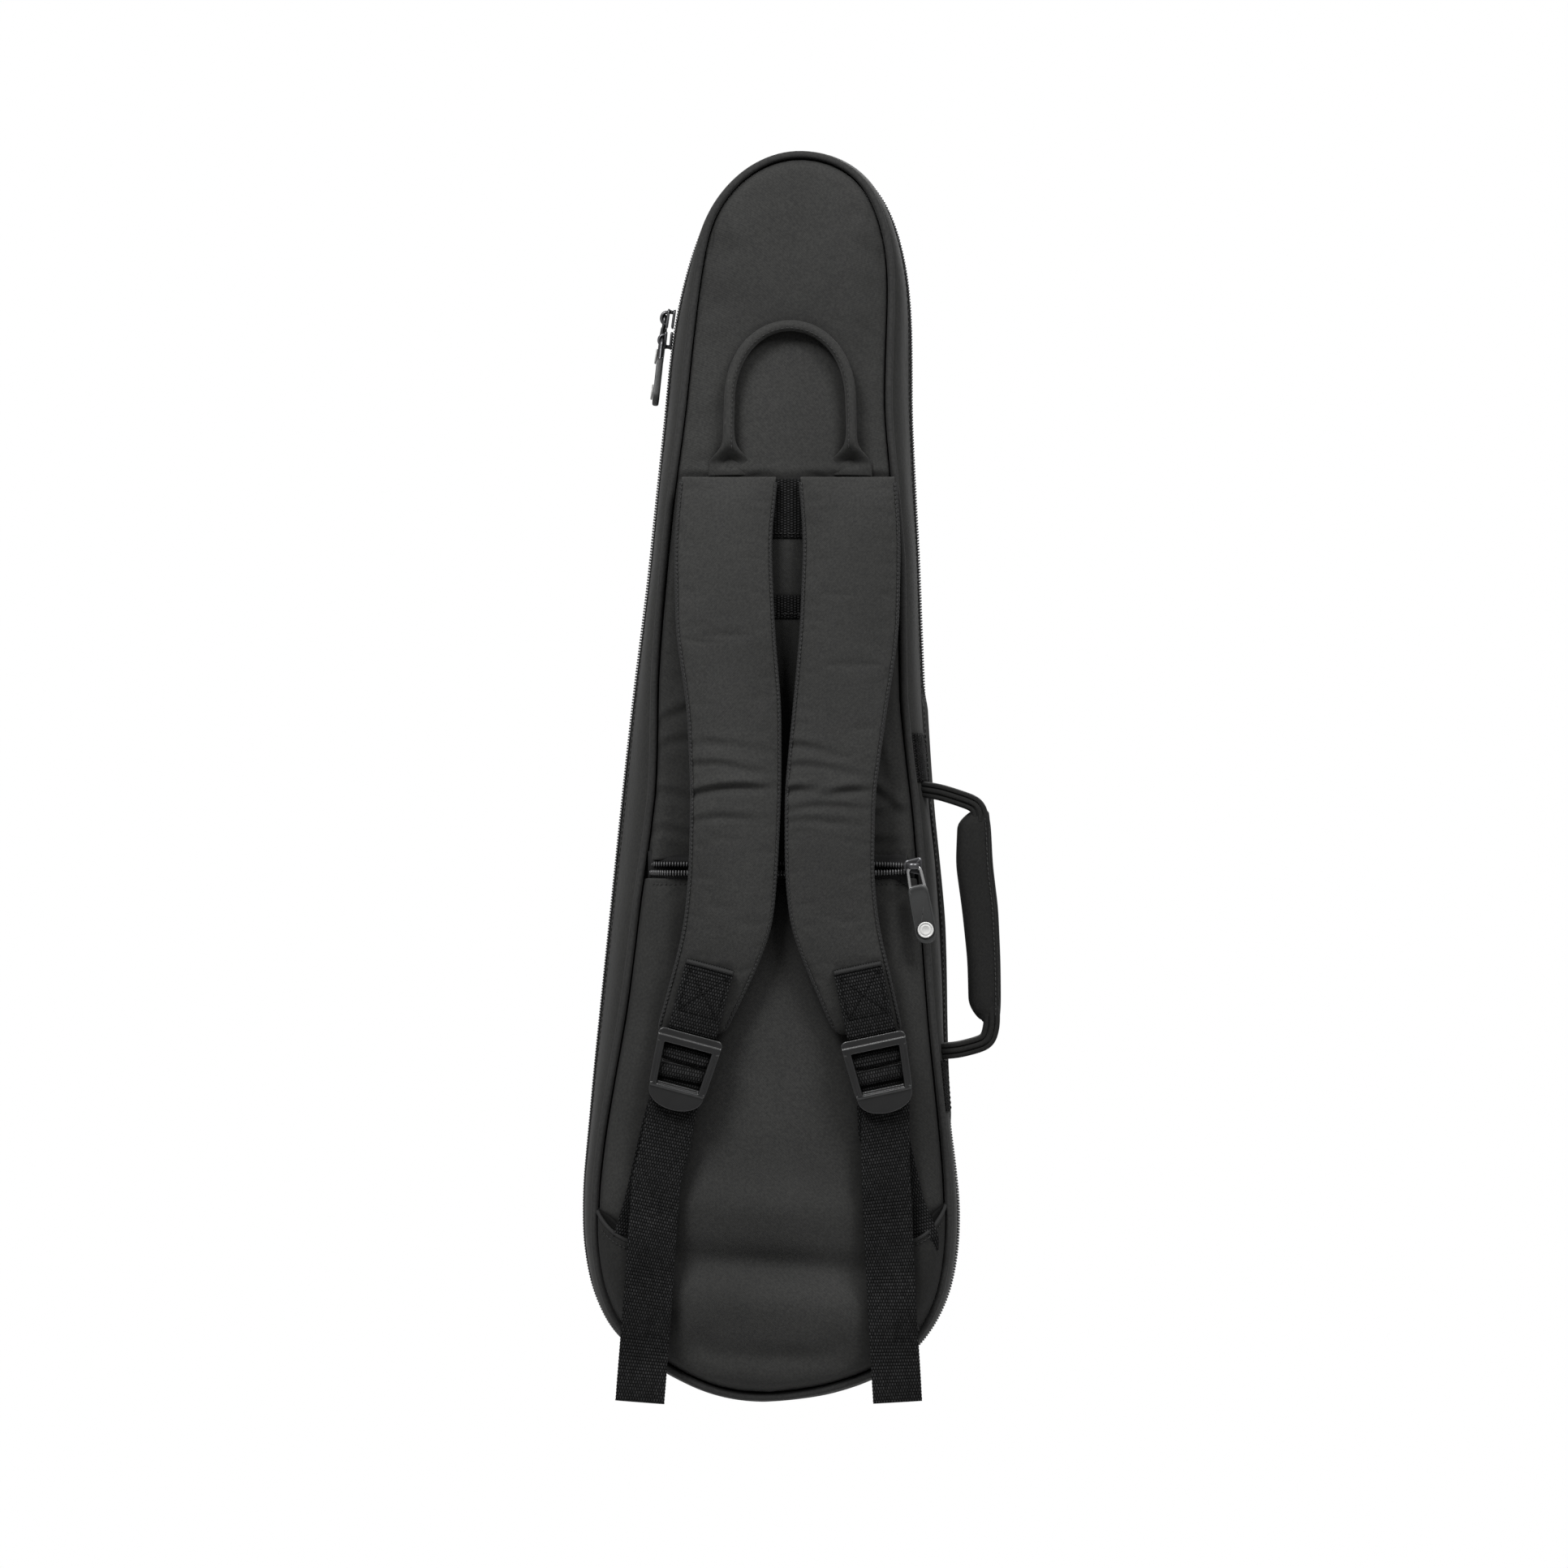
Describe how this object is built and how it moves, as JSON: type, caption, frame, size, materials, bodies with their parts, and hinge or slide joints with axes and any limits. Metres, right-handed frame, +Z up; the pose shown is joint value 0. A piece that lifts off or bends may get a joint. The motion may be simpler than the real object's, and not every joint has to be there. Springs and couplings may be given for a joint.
{
  "type": "padded gig bag",
  "caption": "Padded upright gig bag for a small fretted instrument, with shoulder straps, grab loop, side handle, zipped main compartment and pockets.",
  "frame": {"origin": "top of the grab loop, in the middle of its bend, where the bag hangs from a hook or a hand", "axes": "+Z up along the bag's length, +Y from the strap side to the lid with its front pocket, +X to the side with the carrying handle"},
  "size_m": [0.2189, 0.1362, 0.6544],
  "materials": {
    "shell_fabric": "charcoal plain-weave polyester with a slight sheen",
    "piping_fabric": "charcoal polyester piping, tightly stitched",
    "lining_fabric": "grey lining over foam",
    "webbing": "black ribbed polypropylene webbing",
    "zip_coil": "black nylon coil on woven tape",
    "slider_metal": "black enamelled die casting",
    "wire_chrome": "bright wire",
    "tab_rubber": "matt black moulded",
    "badge_plastic": "light grey plain disc with a raised ring",
    "buckle_plastic": "black acetal, satin"
  },
  "bodies": {
    "shell": {"back_panel": "shell_fabric", "back_padding": "lining_fabric", "rear_gusset": "shell_fabric", "back_piping": "piping_fabric", "rear_main_zip": "zip_coil", "neck_rest": "lining_fabric", "back_pocket_panel": "shell_fabric", "back_pocket_zip_lower": "zip_coil", "back_pocket_zip_upper": "zip_coil", "strap_seam_band": "shell_fabric", "neck_webbing": "webbing", "cross_webbing": "webbing", "corner_patch_left": "shell_fabric", "corner_patch_right": "shell_fabric", "anchor_webbing_left": "webbing", "anchor_webbing_right": "webbing", "handle_patch_upper": "webbing", "handle_patch_lower": "webbing"},
    "lid": {"front_gusset": "shell_fabric", "front_main_zip": "zip_coil", "front_padding": "lining_fabric", "front_panel": "shell_fabric", "front_piping": "piping_fabric", "front_pocket_panel": "shell_fabric", "front_pocket_zip_inner": "zip_coil", "front_pocket_zip_outer": "zip_coil"},
    "grab_loop": {"grab_handle": "shell_fabric"},
    "side_handle": {"side_handle_leg_upper": "webbing", "side_handle_leg_lower": "webbing", "side_handle_grip": "shell_fabric"},
    "main_lower_slide": {"main_lower_slider": "slider_metal"},
    "main_lower_pull": {"main_lower_pull_wire": "wire_chrome", "main_lower_pull_tab": "tab_rubber", "main_lower_pull_badge": "badge_plastic"},
    "main_upper_slide": {"main_upper_slider": "slider_metal"},
    "main_upper_pull": {"main_upper_pull_wire": "wire_chrome", "main_upper_pull_tab": "tab_rubber", "main_upper_pull_badge": "badge_plastic"},
    "back_pocket_slide": {"back_pocket_slider": "slider_metal"},
    "back_pocket_pull": {"back_pocket_pull_wire": "wire_chrome", "back_pocket_pull_tab": "tab_rubber", "back_pocket_pull_badge": "badge_plastic"},
    "front_pocket_slide": {"front_pocket_slider": "slider_metal"},
    "front_pocket_pull": {"front_pocket_pull_wire": "wire_chrome", "front_pocket_pull_tab": "tab_rubber", "front_pocket_pull_badge": "badge_plastic"},
    "strap_left": {"strap_pad_left": "shell_fabric", "strap_tab_left": "webbing"},
    "strap_right": {"strap_pad_right": "shell_fabric", "strap_tab_right": "webbing"},
    "buckle_left": {"ladder_lock_left": "buckle_plastic"},
    "buckle_right": {"ladder_lock_right": "buckle_plastic"},
    "tail_left": {"webbing_tail_left": "webbing"},
    "tail_right": {"webbing_tail_right": "webbing"}
  },
  "joints": [
    {"name": "lid_hinge", "type": "hinge", "parent": "shell", "child": "lid", "pos_m": [0.093, 0.054, -0.458], "axis": [0.0543, 0, -0.9985], "range_deg": [0, 100]},
    {"name": "grab_loop_swing", "type": "hinge", "parent": "shell", "child": "grab_loop", "pos_m": [0.002, 0.0045, -0.0725], "axis": [1, 0, 0], "range_deg": [0, 100]},
    {"name": "side_handle_swing", "type": "hinge", "parent": "shell", "child": "side_handle", "pos_m": [0.079, 0.028, -0.307], "axis": [0.0723, 0, -0.9974], "range_deg": [-60, 60]},
    {"name": "main_lower_zip", "type": "slide", "parent": "shell", "child": "main_lower_slide", "axis": [-0.1031, 0, -0.9947], "range_m": [0, 0.115]},
    {"name": "main_lower_pull_swing", "type": "hinge", "parent": "main_lower_slide", "child": "main_lower_pull", "pos_m": [-0.06468, 0.054, -0.00329], "axis": [-0.0214, 0.9781, -0.2068], "range_deg": [0, 150]},
    {"name": "main_upper_zip", "type": "hinge", "parent": "shell", "child": "main_upper_slide", "pos_m": [0.09767, 0.054, -0.01409], "axis": [0, 1, 0], "range_deg": [0, 17]},
    {"name": "main_upper_pull_swing", "type": "hinge", "parent": "main_upper_slide", "child": "main_upper_pull", "pos_m": [-0.06337, 0.054, 0.00837], "axis": [0.1027, 0.6691, 0.736], "range_deg": [0, 150]},
    {"name": "back_pocket_zip", "type": "slide", "parent": "shell", "child": "back_pocket_slide", "axis": [-1, 0, 0], "range_m": [0, 0.135]},
    {"name": "back_pocket_pull_swing", "type": "hinge", "parent": "back_pocket_slide", "child": "back_pocket_pull", "pos_m": [0.0655, -0.0063, -0.2785], "axis": [-0.9816, 0, -0.1908], "range_deg": [0, 150]},
    {"name": "front_pocket_zip", "type": "slide", "parent": "lid", "child": "front_pocket_slide", "axis": [-1, 0, 0], "range_m": [0, 0.1]},
    {"name": "front_pocket_pull_swing", "type": "hinge", "parent": "front_pocket_slide", "child": "front_pocket_pull", "pos_m": [0.0465, 0.1048, -0.2517], "axis": [0, 1, 0], "range_deg": [0, 150]},
    {"name": "strap_swing_left", "type": "hinge", "parent": "shell", "child": "strap_left", "pos_m": [-0.0292, 0.0016, -0.079], "axis": [-1, 0, 0], "range_deg": [0, 35]},
    {"name": "strap_swing_right", "type": "hinge", "parent": "shell", "child": "strap_right", "pos_m": [0.0317, 0.0016, -0.079], "axis": [-1, 0, 0], "range_deg": [0, 35]},
    {"name": "buckle_tilt_left", "type": "hinge", "parent": "strap_left", "child": "buckle_left", "pos_m": [-0.0485, -0.0144, -0.366], "axis": [-0.9659, 0, 0.2588], "range_deg": [0, 25]},
    {"name": "buckle_tilt_right", "type": "hinge", "parent": "strap_right", "child": "buckle_right", "pos_m": [0.0445, -0.0144, -0.367], "axis": [-0.9781, 0, -0.2079], "range_deg": [0, 25]},
    {"name": "tail_swing_left", "type": "hinge", "parent": "buckle_left", "child": "tail_left", "pos_m": [-0.059, -0.011, -0.407], "axis": [-1, 0, 0], "range_deg": [0, 40]},
    {"name": "tail_swing_right", "type": "hinge", "parent": "buckle_right", "child": "tail_right", "pos_m": [0.051, -0.011, -0.407], "axis": [-1, 0, 0], "range_deg": [0, 40]}
  ]
}
